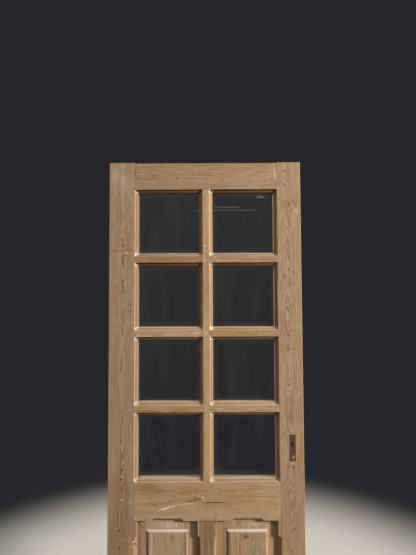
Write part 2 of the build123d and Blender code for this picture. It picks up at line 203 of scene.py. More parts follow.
def pine(
    name, along, pith, lean, ring, pale, dark, marks=(), knots=(), seed=0.0, sway=1.0, edge=0.4, chalk=0.0
):
    """Stripped pine for one board.

    along is the grain's axis, or "stick" where it follows each bead. pith is where the tree's centre lies,
    in mm across, in depth and along, lean is how the board runs out from it, in radians, and ring is a
    year's growth in mm. marks holds (x, z, half width, half height, colour, strength, turn in degrees) of
    stains, fillers and dark grain, and on some boards of painted highlights and painted shade where the
    lamps' light and shadow fall, and knots holds (x, z, half width, half height, years that they push
    aside). sway is how far the pith wanders, edge how pale the arrises are worn and chalk how much lime
    has dried on the board.
    """
    material = bpy.data.materials.new(name)
    material.use_nodes = True
    tree = material.node_tree
    skin = tree.nodes["Principled BSDF"]
    here = put(tree, "TexCoord").outputs["Object"]
    mm = put(tree, "VectorMath", {0: here, "Scale": 1000.0}, operation="SCALE")
    level = put(tree, "Mapping", {"Vector": mm, "Rotation": (0.0, pi / 2, 0.0)}, vector_type="POINT")
    board = {"z": mm, "x": level}.get(along)
    if along == "stick":
        upright = put(tree, "Attribute", attribute_name="upright").outputs["Fac"]
        board = put(tree, "Mix", {"Factor": upright, 4: level, 5: mm}, data_type="VECTOR").outputs[1]
    board = put(tree, "Mapping", {"Vector": board, "Location": pith, "Rotation": (lean[0], lean[1], 0.0)})
    place = put(tree, "VectorMath", (board, (0.0, 0.0, seed)), operation="ADD")

    # the face as seen from the front: across, up and how deep, with ragged outlines for what lies on it
    apart = put(tree, "SeparateXYZ", (mm,))
    deep = put(tree, "Math", (apart.outputs["Y"], front_face), operation="SUBTRACT")
    ragged = put(tree, "TexNoise", {"Vector": mm, "Scale": 0.16, "Detail": 2.0})
    ragged = put(tree, "VectorMath", (ragged.outputs["Color"], noise_mean), operation="SUBTRACT")
    face = put(tree, "CombineXYZ", (apart.outputs["X"], apart.outputs["Z"], deep))
    torn = put(tree, "VectorMath", {0: ragged, 1: (9.0, 9.0, 0.0), 2: face}, operation="MULTIPLY_ADD")

    def reach(at, x, z, wide, high, through, turned=0.0):
        """How many of its own radii each point lies from an oval patch on the face."""
        turn = (0.0, 0.0, radians(turned))
        local = {"Vector": at, "Location": (x, z, 0.0), "Rotation": turn, "Scale": (wide, high, through)}
        local = put(tree, "Mapping", local, vector_type="TEXTURE")
        return put(tree, "VectorMath", (local,), operation="LENGTH").outputs["Value"]

    # knots run right through the board and turn the rings aside
    swirl = 0.0
    eyes = []
    for x, z, wide, high, push in knots:
        away = reach(face, x, z, wide, high, right_through)
        near = put(tree, "MapRange", {0: away, 1: 3.2, 2: 0.0, 3: 0.0, 4: push}, **smooth)
        swirl = put(tree, "Math", (near, swirl), operation="ADD").outputs[0]
        eyes.append(away)

    normal = put(tree, "NewGeometry").outputs["Normal"]
    fibre = (0, 0, 1) if along == "z" else (1, 0, 0)
    end = put(tree, "VectorMath", (normal, fibre), operation="DOT_PRODUCT")
    end = put(tree, "Math", (end.outputs["Value"],), operation="ABSOLUTE")
    end = put(tree, "MapRange", {0: end, 1: 0.6, 2: 0.9, 3: 0.0, 4: 0.0 if along == "stick" else 1.0})
    wood = put(tree, "Group", node_tree=figure)
    for key, value in (
        ("Position", place.outputs[0]),
        ("Ring", ring),
        ("Swirl", swirl),
        ("Sway", sway),
        ("Pale", linear(pale)),
        ("Dark", linear(dark)),
        ("End", end.outputs[0]),
    ):
        if isinstance(value, bpy.types.NodeSocket):
            tree.links.new(value, wood.inputs[key])
        else:
            wood.inputs[key].default_value = value

    # what lies on the bare wood, each as its mask and its colour, from the lowest up: first the knots' dark
    # rims and brown hearts, then the marks, which don't reach the back
    layers = []
    for away in eyes:
        rim = put(tree, "Math", (away, 0.86), operation="SUBTRACT")
        rim = put(tree, "Math", (rim,), operation="ABSOLUTE")
        rim = put(tree, "MapRange", {0: rim, 1: 0.0, 2: 0.3, 3: 0.75, 4: 0.0}, **smooth)
        heart = put(tree, "MapRange", {0: away, 1: 0.75, 2: 0.2, 3: 0.0, 4: 0.55}, **smooth)
        layers += [(rim, "#5f4229"), (heart, "#8f6440")]
    for x, z, wide, high, hex_code, strength, *turned in marks:
        away = reach(torn, x, z, wide, high, front_only, *turned)
        mark = put(tree, "MapRange", {0: away, 1: 1.1, 2: 0.35, 3: 0.0, 4: strength}, **smooth)
        layers.append((mark, hex_code))

    # old varnish stays in the mouldings in streaks, with a darker band at the foot of each hollow, and
    # painted shade darkens the faces that turn down and away from the key lamp; the hollows' upper curve and
    # the arrises are worn pale, and the lit fillets, the panels' upper shoulders and the faces that turn up
    # carry a painted highlight
    hollow = put(tree, "Attribute", attribute_name="hollow").outputs["Fac"]
    facing = put(tree, "SeparateXYZ", (normal,)).outputs
    # faces turned down, and a little those turned left away from the key lamp, count as shaded: this carries
    # painted shade as well as varnish
    varnished_or_shaded = put(tree, "Math", (facing["Z"], -0.75, 0.5), operation="MULTIPLY_ADD")
    varnished_or_shaded = put(tree, "Math", (facing["X"], -0.15, varnished_or_shaded), operation="MULTIPLY_ADD")
    varnished_or_shaded = put(tree, "MapRange", {0: varnished_or_shaded, 1: 0.1, 2: 1.0, 3: 0.1, 4: 1.0})
    curved = put(tree, "Math", (hollow, 0.95), operation="GREATER_THAN")
    varnished_or_shaded = put(tree, "Mix", {"Factor": curved, 2: hollow, 3: varnished_or_shaded}).outputs[0]
    dregs = put(tree, "VectorMath", (place, (1 / 5, 1 / 5, 1 / 60)), operation="MULTIPLY")
    dregs = put(tree, "TexNoise", {"Vector": dregs, "Scale": 1.0, "Detail": 3.0, "Roughness": 0.6})
    thin = put(tree, "MapRange", {0: dregs, 1: 0.38, 2: 0.68, 3: 0.10, 4: 0.75})
    thin = put(tree, "Math", (thin, varnished_or_shaded), operation="MULTIPLY")
    moulded = put(tree, "Math", (varnished_or_shaded, 0.05), operation="GREATER_THAN")
    foot = put(tree, "MapRange", {0: deep, 1: 4.6, 2: 7.6, 3: 0.0, 4: 0.5}, **smooth)
    foot = put(tree, "Math", (foot, moulded), operation="MULTIPLY")
    head = put(tree, "MapRange", {0: deep, 1: 3.4, 2: 1.2, 3: 0.0, 4: 0.5}, **smooth)
    head = put(tree, "Math", (head, moulded), operation="MULTIPLY")
    # moulded faces that turn up are painted lighter: a painted highlight for the light from above
    upward_painted_light = put(tree, "MapRange", {0: facing["Z"], 1: 0.3, 2: 0.9, 3: 0.0, 4: 0.55}, **smooth)
    upward_painted_light = put(tree, "Math", (upward_painted_light, curved), operation="MULTIPLY")
    # the darkest brown, on down-turned faces and shaded fillets, is old varnish and painted shade together
    dark_varnish_and_shade = put(tree, "MapRange", {0: varnished_or_shaded, 1: 0.72, 2: 0.95, 3: 0.0, 4: 0.95}, **smooth)
    # the fillet attribute gives the panels' upper shoulders a painted highlight, and the fillets out of shade
    # a pale that is part wear and part painted light
    rubbed_and_lit = put(tree, "Attribute", attribute_name="fillet").outputs["Fac"]
    rubbed_and_lit = put(tree, "Math", (rubbed_and_lit, 0.9), operation="MULTIPLY")
    worn = put(tree, "Attribute", attribute_name="arris").outputs["Fac"]
    worn = put(tree, "Math", (worn, edge), operation="MULTIPLY")
    layers += [(thin, "#a4764a"), (foot, "#7a5533"), (head, "#d0bb9e"), (upward_painted_light, "#b39c88")]
    layers += [(dark_varnish_and_shade, "#3e2812"), (rubbed_and_lit, "#d8cdbc"), (worn, "#c6aa86")]
    if chalk:
        # lime from the stripping tank dries white in the panes' corners, most at the foot of the lit side
        across = put(tree, "Math", (apart.outputs["X"], glazing_left), operation="SUBTRACT")
        across = put(tree, "Math", (across, pane_pitch_across), operation="FLOORED_MODULO")
        up = put(tree, "Math", (apart.outputs["Z"], glazing_foot), operation="SUBTRACT")
        up = put(tree, "Math", (up, pane_pitch_up), operation="FLOORED_MODULO")
        corner = put(tree, "CombineXYZ", (across, up, deep))
        corner = {0: ragged, 1: (26.0, 26.0, 0.0), 2: corner}
        corner = put(tree, "VectorMath", corner, operation="MULTIPLY_ADD")
        beside = (apart.outputs["X"], glazing_left + glazed_width / 2, glazed_width / 2 + 8.0)
        beside = put(tree, "Math", beside, operation="COMPARE")
        level_with = (apart.outputs["Z"], glazing_foot + glazed_height / 2, glazed_height / 2 + 9.0)
        level_with = put(tree, "Math", level_with, operation="COMPARE")
        glazed = put(tree, "Math", (beside, level_with), operation="MULTIPLY")
        amount = put(tree, "TexNoise", {"Vector": mm, "Scale": 0.011, "Detail": 0.0})
        amount = put(tree, "MapRange", {0: amount, 1: 0.34, 2: 0.54, 3: 0.75, 4: 1.0}, **smooth)
        glazed = put(tree, "Math", (glazed, amount), operation="MULTIPLY")
        for x, z, turned, strength in (
            (7.0, 6.0, 40.0, 1.0),
            (5.0, pane_height - 5.0, -45.0, 0.62),
            (pane_width - 5.0, 5.0, -45.0, 0.5),
        ):
            away = reach(corner, x, z, 13.0, 7.5, right_through, turned)
            lime = {0: away, 1: 1.25, 2: 0.4, 3: 0.0, 4: strength * chalk}
            lime = put(tree, "MapRange", lime, **smooth)
            lime = put(tree, "Math", (lime, glazed), operation="MULTIPLY")
            layers.append((lime, "#e6dccb"))

    colour = wood.outputs["Colour"]
    for mask, hex_code in layers:
        colour = put(tree, "MixRGB", (mask, colour, linear(hex_code)))
    tree.links.new(colour.outputs[0], skin.inputs["Base Color"])
    rough = put(tree, "MapRange", {0: wood.outputs["Latewood"], 1: 0.0, 2: 1.0, 3: 0.74, 4: 0.58})
    tree.links.new(rough.outputs[0], skin.inputs["Roughness"])
    skin.inputs["Specular IOR Level"].default_value = 0.3
    bump = put(tree, "Bump", {"Strength": 0.6, "Distance": 0.0004, "Height": wood.outputs["Height"]})
    tree.links.new(bump.outputs[0], skin.inputs["Normal"])
    return material


def softened(node, name, wood, width=arris_round):
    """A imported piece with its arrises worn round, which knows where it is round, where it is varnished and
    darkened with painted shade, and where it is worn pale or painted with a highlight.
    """
    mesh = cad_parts[node].data.copy()
    mesh.name = name
    obj = bpy.data.objects.new(name, mesh)
    scene.collection.objects.link(obj)
    shape = bmesh.new()
    shape.from_mesh(mesh)
    bmesh.ops.remove_doubles(shape, verts=shape.verts, dist=2e-6)
    bmesh.ops.dissolve_limit(shape, angle_limit=radians(0.4), verts=shape.verts, edges=shape.edges)
    arrises = [e for e in shape.edges if len(e.link_faces) == 2 and e.is_convex]
    arrises = [e for e in arrises if e.calc_face_angle() > radians(30)]
    made = bmesh.ops.bevel(
        shape,
        geom=arrises,
        offset=width / 1000,
        segments=2,
        profile=0.5,
        affect="EDGES",
        clamp_overlap=False,
    )
    rounds = set(made["faces"])
    arris, hollow, fillet = (shape.faces.layers.float.new(n) for n in ("arris", "hollow", "fillet"))
    for f in shape.faces:
        at = f.calc_center_median() * 1000
        deep = at.y - front_face
        inside = 3 < at.x < door_width - 3 and glazing_foot - 1 < at.z < door_height - 6
        flat = abs(f.normal.y) > 0.999
        slanted = max(abs(c) for c in f.normal) < 0.999
        # a panel's shoulders that turn upwards are marked for a painted highlight
        shoulder = node.startswith("panel") and f.normal.z > 0.1 and -0.95 < f.normal.y < 0
        lip = inside and flat and abs(deep - lip_floor) < 1
        under_head = (at.z - glazing_foot) % pane_pitch_up > pane_height - lip_shade
        by_far_side = (at.x - glazing_left) % pane_pitch_across > pane_width - lip_shade
        shaded = lip and (under_head or by_far_side)
        worked = inside and 0.6 < deep < 21.9 and not flat
        # fillets at a pane's head and far side lie in shade and take painted shade; the others are worn pale
        # and painted lighter as lit
        lip_painted_shade = head_painted_shade if under_head else side_painted_shade
        f[arris] = 1.0 if f in rounds else 0.0
        f[hollow] = lip_painted_shade if shaded else 1.0 if worked else 0.0
        f[fillet] = 1.0 if shoulder else 0.5 if lip and not shaded else 0.0
        f.smooth = slanted and f.calc_area() < 4e-3
    for e in shape.edges:
        e.smooth = len(e.link_faces) == 2 and e.calc_face_angle() < radians(40)
    shape.to_mesh(mesh)
    shape.free()
    mesh.materials.clear()
    mesh.materials.append(wood)
    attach(obj, "root")
    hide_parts(node)
    return obj


red_stain, filler, dark_grain, grey_bloom, golden = "#a05a3c", "#dcd2bd", "#543c28", "#b8aa96", "#ba9264"
hinge_stile_pine = pine(
    "hinge stile, flat-sawn stripped pine", "z", (-54.0, 40.0, 0.0), (0.004, 0.0), 2.9,
    "#b1987d", "#795d46",
    marks=(
        (1.5, 990, 5, 1400, golden, 0.7), (20, 1628, 26, 7, red_stain, 0.5),
        (80, 1631, 22, 8, red_stain, 0.55), (50, 1628, 60, 6, "#a8704c", 0.35),
        (68.7, 1618.7, 6, 5, filler, 0.95), (53, 1908, 12, 34, grey_bloom, 0.6),
        (20, 1928, 16, 30, grey_bloom, 0.5), (54.6, 1647, 5, 12, dark_grain, 0.8),
        (52, 1672, 6, 5, dark_grain, 0.6), (54, 1582, 3.5, 26, dark_grain, 0.75),
        (56, 1508, 6, 6, dark_grain, 0.7), (56, 1483, 4, 5, dark_grain, 0.6),
        (55, 1462, 7, 4, dark_grain, 0.6), (36, 1388, 5, 5, dark_grain, 0.6),
        (80, 1389, 14, 3, dark_grain, 0.5), (55, 1346, 8, 4, dark_grain, 0.55),
        (54, 1000, 4, 12, dark_grain, 0.6), (53, 960, 4, 10, dark_grain, 0.55),
        (50, 520, 70, 330, "#82603e", 0.42), (112, 500, 6, 62, "#d0a468", 0.4),
        (50, 1900, 60, 70, "#b5a28d", 0.35), (112, 538, 3, 5, dark_grain, 0.8),
        (110, 518, 2.5, 4, dark_grain, 0.8), (114, 501, 3, 4, dark_grain, 0.8),
        (110, 484, 2.5, 6, dark_grain, 0.7), (52, 880, 4, 16, dark_grain, 0.6),
        (53, 820, 6, 5, dark_grain, 0.55), (50, 760, 6, 5, dark_grain, 0.6),
        (22, 1880, 5, 30, grey_bloom, 0.4), (101.5, 1945, 2.2, 30, dark_grain, 0.6),
        (45, 1745, 4, 40, "#8f6f52", 0.4), (75, 1760, 12, 60, "#a5907a", 0.35),
        (88, 480, 8, 60, "#c39a68", 0.5), (60, 560, 30, 60, "#8d6c4c", 0.3),
        (48, 776, 2.6, 9, "#3f2c1e", 0.85, 25), (55, 774, 2.6, 9, "#3f2c1e", 0.85, -25),
        (49, 738, 7, 6, "#46301f", 0.85), (55, 699, 2.8, 22, "#46301f", 0.85),
        (54, 661, 7, 7, "#b9ad96", 0.8), (51, 668, 3, 3, "#3f2c1e", 0.8),
        (38.5, 590, 2.2, 38, "#553d29", 0.75), (54, 590, 2.2, 40, "#553d29", 0.75),
        (46, 546, 5, 10, "#3f2c1e", 0.85), (45.4, 478, 3.6, 12, "#46301f", 0.85),
        (47, 590, 5, 60, "#b09a80", 0.5), (101, 513, 5, 4, "#46301f", 0.85),
        (99, 503, 5, 3.5, "#e0bd8c", 0.85), (104, 494, 4, 4, "#46301f", 0.85),
        (98, 483, 4, 4, "#e0bd8c", 0.7), (84, 520, 6, 9, "#a99880", 0.6),
        (88, 655, 7, 16, "#b3a48d", 0.6), (16, 620, 5, 90, "#a58f76", 0.5),
        (50, 1120, 70, 200, "#94795c", 0.25),
    ),
    chalk=1.0,
)
lock_stile_pine = pine(
    "lock stile, flat-sawn stripped pine", "z", (-712.0, 56.0, 0.0), (0.006, 0.004), 3.2,
    "#b59c7c", "#84674c",
    marks=(
        (711.6, 1550, 5, 7, dark_grain, 0.75), (729.6, 1540, 7, 4, dark_grain, 0.7),
        (721.3, 1308.5, 7, 3.5, dark_grain, 0.6), (708.1, 1293.7, 3.5, 9, dark_grain, 0.6),
        (673.9, 1836.9, 3.5, 4, "#4a3020", 0.8), (711.1, 1897, 3.5, 4, "#e2d4b4", 0.8),
        (713, 1905, 5, 4, "#6b503a", 0.6), (716, 1812, 3, 13, "#4b3724", 0.85),
        (733, 1822, 3.5, 14, "#4b3724", 0.8, 20), (742, 1810, 3, 12, "#5a4530", 0.6, -20),
        (744, 1785, 14, 12, "#cdbda6", 0.45), (714, 1740, 3.2, 26, "#7a5a3b", 0.65),
        (713.4, 1596, 2.6, 26, "#7a5a3b", 0.65), (712.2, 939.9, 5, 5, "#d9c6a4", 0.7),
        (726.6, 939.8, 5, 5, "#d9c6a4", 0.7), (712.2, 939.9, 2.6, 2.6, "#5a4430", 0.8),
        (726.6, 939.8, 2.6, 2.6, "#5a4430", 0.8), (716, 925, 12, 14, "#c4ab86", 0.5),
        (716, 798, 11, 5, "#cdb594", 0.6), (761, 990, 4, 1400, golden, 0.6),
        (740, 880, 8, 40, "#bba07a", 0.4), (664, 1960, 3, 34, "#cfbea4", 0.6),
        (720, 781, 3.4, 9, dark_grain, 0.85), (720, 713, 3, 8, dark_grain, 0.85),
        (721, 640, 4.4, 10, dark_grain, 0.85), (721, 551, 3.4, 13, dark_grain, 0.85),
        (752, 860, 4, 90, "#a9794f", 0.4), (727, 640, 3, 12, "#cbb698", 0.6),
        # (672, 470) darkens and warms the stile's left chamfer, which lies in shade: painted shade
        (715, 600, 70, 220, "#92754f", 0.25), (672, 470, 8, 200, "#9a6c3a", 0.5),
        (716, 1940, 4, 30, "#8b6b4a", 0.5), (730, 1950, 14, 4, "#8b6b4a", 0.4),
        (712, 1489, 9, 9, "#8a6949", 0.5),
    ),
    knots=((693.4, 1522.5, 8.0, 8.0, 2.2),),
    seed=913.0,
    chalk=0.35,
)
softened("hinge_stile", "hinge_stile_board", hinge_stile_pine)
softened("lock_stile", "lock_stile_board", lock_stile_pine)

# Rails
# Top, lock and bottom rails are the cross boards, tenoned through the stiles and wedged. Their grain runs
# level, and the wide lock rail has a shake, a long split that an old filler half closes.
top_rail_pine = pine(
    "top rail, stripped pine", "x", (-1925.0, 48.0, 0.0), (0.020, 0.006), 3.1, "#ad9271", "#8b6c4a",
    marks=(
        (183, 1932, 10, 6, "#8c6238", 0.6), (189, 1936, 3, 6, "#d8c6a4", 0.6),
        (269, 1917, 7, 5, "#6f5236", 0.6), (262, 1921, 14, 3, "#8a6a48", 0.4),
        (449, 1910, 12, 5, "#6f5236", 0.6), (462, 1912, 8, 3, "#cdb48c", 0.5),
        (561, 1910, 10, 5, "#7c5c3c", 0.5), (620, 1909, 16, 2.5, "#7a5838", 0.6),
        (638, 1920, 8, 3, "#c9b08a", 0.5), (125, 1934, 28, 4, "#cbb391", 0.7),
        (150, 1914, 26, 2.5, "#8d6740", 0.5), (610.9, 1876, 3, 3, "#5d452e", 0.5),
        (540, 1905, 130, 50, "#b5a188", 0.3), (190, 1925, 90, 50, "#93765a", 0.3),
        (104, 1945, 3, 32, "#6a4d34", 0.75), (660, 1937, 3.5, 46, "#d3bea0", 0.75, 4),
        (640, 1940, 16, 34, "#c0a488", 0.35),
    ),
    knots=((187, 1933, 5.0, 4.0, 1.3), (268, 1918, 5.0, 3.5, 1.1)),
    seed=311.0,
    sway=0.55,
    chalk=0.6,
)
lock_rail_pine = pine(
    "lock rail, stripped pine", "x", (-700.0, 40.0, 0.0), (0.014, -0.012), 3.2, "#bba07a", "#a2845c",
    marks=(
        (341.7, 662, 17, 9, "#7d5d3d", 0.6), (350, 676, 7, 4, "#d3bf9c", 0.8),
        (330, 679, 8, 4, "#d0b996", 0.7), (368, 668, 6, 8, "#d8c6a6", 0.7),
        (322, 656, 24, 4, "#85531f", 0.75, 6), (355, 664, 7, 5, "#4f3722", 0.7),
        (408, 650.5, 66, 2.6, "#4c361f", 0.9, 0.5), (228, 629.5, 50, 3.6, "#eadfc8", 1.0, 16),
        (300, 645, 44, 2.4, "#d9c6a4", 0.8, 4), (181, 710, 5, 6, "#6a4a30", 0.5),
        (180.7, 642, 6, 6, "#6a4c34", 0.4), (300, 695, 70, 22, "#9c7442", 0.45),
        (160, 695, 90, 24, "#8f6d3f", 0.5), (520, 700, 90, 10, "#a5763f", 0.3),
        (420, 612, 60, 14, "#b09678", 0.4), (230, 606, 90, 12, "#ab967a", 0.45),
        (560, 640, 90, 14, "#b79c78", 0.35), (240, 652, 44, 3, "#7b5528", 0.5, 12),
        (600, 672, 50, 3, "#8a6238", 0.4), (520, 727, 200, 2, "#86603a", 0.5),
        (240, 727, 200, 2, "#86603a", 0.55), (103, 660, 2.2, 90, "#8d6f50", 0.6),
        (666, 660, 2.2, 90, "#c9b08c", 0.6), (180, 588, 60, 2, "#6f5135", 0.4),
        (104, 592, 3, 8, "#ddd6c8", 0.85, 30), (400, 604, 320, 20, "#b29c80", 0.4),
        (150, 612, 60, 14, "#a48a70", 0.55), (150, 714, 60, 12, "#86602f", 0.45),
        (418, 606, 3, 14, "#8a6a48", 0.6), (406, 604, 3, 12, "#c9ad88", 0.6),
    ),
    knots=((341.7, 668, 9.0, 6.0, 1.6),),
    seed=127.0,
    sway=0.5,
    chalk=0.75,
)
bottom_rail_pine = pine(
    "bottom rail, stripped pine", "x", (-80.0, 55.0, 0.0), (0.018, 0.004), 3.9, "#ab8d69", "#83634a",
    marks=(
        (210, 120, 12, 8, "#6f5236", 0.5), (560, 60, 14, 7, "#6f5236", 0.5),
        (380, 4, 420, 10, "#6d5640", 0.5),
    ),
    knots=((470, 135, 9.0, 7.0, 1.8),),
    seed=655.0,
)
softened("top_rail", "top_rail_board", top_rail_pine)
lock_rail = softened("lock_rail", "lock_rail_board", lock_rail_pine)
softened("bottom_rail", "bottom_rail_board", bottom_rail_pine)

# the split's line across the rail, from its filled end to where it closes: mm across, mm up, and how far it
# opens above and below that
shake = (
    (184, 619.5, 0.3, 0.3), (193, 623, 0.8, 3.0), (222, 631, 1.0, 4.2), (245, 637.5, 1.2, 4.2),
    (271, 644.5, 1.2, 3.2), (300, 647.5, 1.4, 1.8), (327, 649, 1.7, 2.0), (345, 650.5, 2.0, 1.4),
    (362, 649, 2.0, 1.4), (410, 650.5, 1.9, 1.3), (462, 651.5, 1.6, 1.0), (520, 653, 0.8, 0.6),
    (575, 654.5, 0.15, 0.15),
)
shake_depth, shake_proud = 5.0, 1.0  # mm into the rail, and that the knife stands out of it
cutter = bpy.data.meshes.new("shake")
mouth, root = front_face - shake_proud, front_face + shake_depth
rows = [
    [(x, mouth, z + above), (x, mouth, z - below), (x, root, z + 0.8 * above)]
    for x, z, above, below in shake
]
faces = [(0, 1, 2), tuple(3 * (len(rows) - 1) + i for i in (2, 1, 0))]
for i in range(len(rows) - 1):
    for a, b in ((0, 1), (1, 2), (2, 0)):
        faces.append((3 * i + b, 3 * i + a, 3 * i + 3 + a, 3 * i + 3 + b))
cutter.from_pydata([Vector(p) / 1000 for row in rows for p in row], [], faces)
cutting = bmesh.new()
cutting.from_mesh(cutter)
bmesh.ops.recalc_face_normals(cutting, faces=cutting.faces)
cutting.to_mesh(cutter)
cutting.free()
knife = bpy.data.objects.new("shake", cutter)
scene.collection.objects.link(knife)
split = lock_rail.modifiers.new("shake", "BOOLEAN")
split.operation = "DIFFERENCE"
split.solver = "EXACT"
split.object = knife
opened = bpy.data.meshes.new_from_object(lock_rail.evaluated_get(bpy.context.evaluated_depsgraph_get()))
lock_rail.modifiers.clear()
lock_rail.data = opened
bpy.data.objects.remove(knife)

# Muntin and panels
# The short upright between the panels is tenoned into the rails. The panels are loose in their grooves: a
# raised field, a worked shoulder with a quirk inside it and a wide margin, with old paint left red down one
# side.
muntin_pine = pine(
    "muntin, stripped pine", "z", (-430.0, 30.0, 0.0), (0.01, 0.01), 3.0, "#96795c", "#7c6248",
    seed=77.0,
    sway=0.3,
    marks=(
        (384, 560, 18, 22, "#84674b", 0.4), (414, 420, 4, 110, "#cda677", 0.5),
        (350.5, 560, 2.4, 60, "#cbb18c", 0.8), (384, 592, 60, 13, "#a98c66", 1.0),
        (384, 579, 60, 1.8, "#59402a", 0.75), (418, 545, 2.4, 40, "#d8bf9c", 0.8),
        (366, 480, 3, 120, "#b39c80", 0.5), (380, 470, 3, 130, "#6a4f37", 0.5),
        (396, 500, 3, 90, "#725740", 0.5),
    ),
)
panel_left_pine = pine(
    "left panel, stripped pine", "z", (-330.0, 60.0, 0.0), (0.01, 0.0), 3.4, "#b9a083", "#a08465",
    seed=402.0,
    sway=0.4,
    marks=(
        (122, 480, 12, 190, "#9c6650", 0.85), (138, 480, 6, 200, "#9a8068", 0.6),
        (152, 430, 3.5, 180, "#5b3f27", 0.75), (168, 470, 7, 150, "#c6bba2", 0.5),
        (200, 440, 9, 120, "#a5937a", 0.4), (250, 512, 14, 20, "#86673c", 0.6),
        (262, 420, 8, 110, "#a08463", 0.5), (222, 500, 4, 90, "#9a7d5c", 0.5),
        # (316, 470) lightens the right margin where the muntin's shadow falls: painted light
        (298, 470, 2.4, 120, "#4a3524", 0.7), (316, 470, 13, 170, "#b08f68", 0.5),
        (232, 560, 4, 18, "#e4d6bb", 0.8), (196, 560, 3, 16, "#9a7b54", 0.6),
        # (230, 560) pales the top margin and shoulder under the lock rail: painted light
        (230, 560, 78, 18, "#cdbda3", 0.45), (265, 560, 3, 18, "#e4d6bb", 0.6),
        # (334, 470) lightens the shadow band beside the muntin: painted light
        (142, 562, 9, 12, "#8f7250", 0.5), (334, 470, 9, 200, "#b88a58", 0.8),
        # (344, 470) is a line of painted shade in the corner against the muntin
        (344, 470, 1.6, 220, "#2a1c10", 0.8), (303, 470, 5, 200, "#97744c", 0.7),
        (338, 570, 2, 30, "#d4cecb", 0.8), (118, 566, 3, 14, "#4a3320", 0.75, 45),
        (132, 553, 3, 12, "#4a3320", 0.75, 45),
    ),
)
panel_right_pine = pine(
    "right panel, stripped pine", "z", (-560.0, 55.0, 0.0), (0.012, 0.0), 3.6, "#b79b7b", "#977a59",
    seed=518.0,
    sway=0.45,
    marks=(
        (533, 517, 9, 6, "#3a281c", 0.9, -15), (496, 470, 2.4, 120, "#75552f", 0.7),
        (511, 460, 2.2, 110, "#7a5a38", 0.7), (503, 470, 3, 120, "#c7a877", 0.5),
        (461, 543, 6, 9, "#3f2a1a", 0.85), (463, 470, 5, 140, "#5a3f26", 0.7),
        (438, 480, 13, 180, "#bd9259", 0.5), (480, 440, 6, 120, "#a98a60", 0.5),
        (560, 440, 12, 130, "#9c8467", 0.4), (590, 470, 5, 100, "#a0825d", 0.5),
        (628, 480, 9, 180, "#b5946c", 0.5), (503, 564, 9, 14, "#8a6840", 0.6),
        # (611.5, 470) is a painted highlight on the shoulder that faces the key lamp
        (611.5, 470, 2.2, 200, "#ead4b6", 0.8), (448, 470, 7, 200, "#8b6a40", 0.6),
        # (566, 560) pales the top margin and shoulder under the lock rail: painted light
        (472, 470, 6, 200, "#8f6f48", 0.4), (566, 560, 56, 18, "#cbb698", 0.4),
        (436, 577, 12, 5, "#efe6d8", 0.9), (654, 570, 2, 30, "#d4cecb", 0.8),
        # (649, 470) lightens the shadow band beside the lock stile: painted light, and (659, 470) is a line
        # of painted shade in that corner
        (649, 470, 10, 200, "#a8814f", 0.8), (659, 470, 1.6, 220, "#2a1c10", 0.8),
    ),
    knots=((533.5, 518.0, 13.0, 11.0, 2.4),),
)
softened("muntin", "muntin_board", muntin_pine)
softened("panel_left", "panel_left_board", panel_left_pine)
softened("panel_right", "panel_right_board", panel_right_pine)

# Glazing bars
# The upright bar runs from rail to rail and the short level bars are stub-tenoned into it and into the
# stiles. All carry the same hollow and fillet as the frame, mitred where they meet.
upright_bar_pine = pine(
    "upright glazing bar, stripped pine", "z", (-372.0, 30.0, 0.0), (0.01, 0.02), 2.8, "#c3a681", "#9c7d55",
    seed=231.0,
    sway=0.4,
    edge=0.1,
    marks=(
        (379, 1646, 5, 5, "#dccfb6", 0.85), (384, 1875, 10, 8, "#8c6c4a", 0.5),
        (378, 1588, 12, 12, "#cdbba4", 0.55), (383, 1300, 14, 12, "#cdbba4", 0.6),
        (380, 1006, 10, 10, "#cdbba4", 0.4),
    ),
    chalk=1.0,
)
softened("glazing_bar_upright", "glazing_bar_upright_stick", upright_bar_pine)
pale_patches = {("left", 2): ((344, 1300, 22, 9, "#c9b79e", 0.65), (245, 1302, 30, 7, "#c9b79e", 0.4))}
bar_woods = {
    ("left", 1): ("#a98862", "#866440", 11.0),
    ("left", 2): ("#c1a37f", "#9c7d5a", 523.0),
    ("left", 3): ("#b89978", "#957450", 87.0),
    ("right", 1): ("#b89875", "#94734f", 644.0),
    ("right", 2): ("#bb9c71", "#96744a", 302.0),
    ("right", 3): ("#bfa282", "#9a7a58", 977.0),
}
heart_off = 9.0  # mm from a level bar's middle to its tree's centre
for (column, row), (pale, dark, seed) in bar_woods.items():
    low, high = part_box(f"glazing_bar_{column}_{row}")
    middle = (low[2] + high[2]) / 2 * 1000
    pith = (heart_off - middle, 38.0, 0.0)
    wood = pine(
        f"{column} glazing bar {row}, stripped pine", "x", pith, (0.008, 0.01), 2.6, pale, dark,
        marks=pale_patches.get((column, row), ()),
        seed=seed,
        sway=0.35,
        chalk=1.0,
    )
    softened(f"glazing_bar_{column}_{row}", f"glazing_bar_{column}_{row}_stick", wood)

